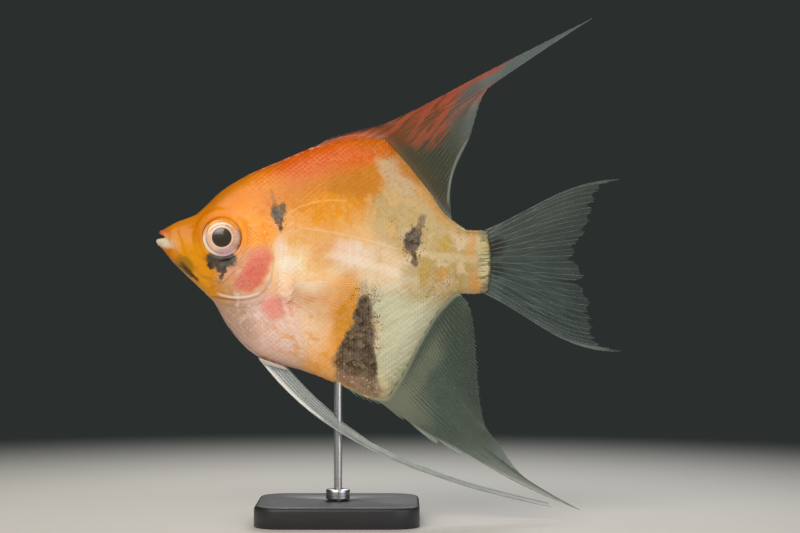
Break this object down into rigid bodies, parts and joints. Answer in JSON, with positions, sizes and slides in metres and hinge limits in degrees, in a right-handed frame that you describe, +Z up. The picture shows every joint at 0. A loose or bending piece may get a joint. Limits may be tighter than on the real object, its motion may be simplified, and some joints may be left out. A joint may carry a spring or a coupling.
{
  "type": "freshwater angelfish model",
  "caption": "Life-size still model of a koi-patterned freshwater angelfish with spread fins and trailing pelvic rays, held on a rod over a flat display base.",
  "frame": {"origin": "centre of the stand base's underside, on the surface the model stands on", "axes": "+Z up, -X towards the fish's mouth, -Y towards its left side"},
  "size_m": [0.0999, 0.032, 0.1078],
  "materials": {
    "fish_skin": "wet scaled skin, orange back and head, cream flank, soft gloss",
    "fin_web": "thin translucent web between pale rays",
    "eye_gloss": "clear wet cornea over a pinkish iris and dark pupil",
    "stand_paint": "satin black paint on steel",
    "stand_steel": "fine brushed bar"
  },
  "bodies": {
    "root": {"head": "fish_skin", "upper_jaw": "fish_skin", "lower_jaw": "fish_skin", "gill_cover_left": "fish_skin", "gill_cover_right": "fish_skin", "trunk": "fish_skin", "tail_stalk": "fish_skin", "eye_left": "eye_gloss", "eye_right": "eye_gloss", "dorsal_fin": "fin_web", "anal_fin": "fin_web", "tail_fin": "fin_web", "pelvic_fin_left": "fin_web", "pelvic_fin_right": "fin_web", "pectoral_fin_left": "fin_web", "pectoral_fin_right": "fin_web", "stand_base": "stand_paint", "stand_rod": "stand_steel", "stand_collar": "stand_steel"}
  },
  "joints": []
}
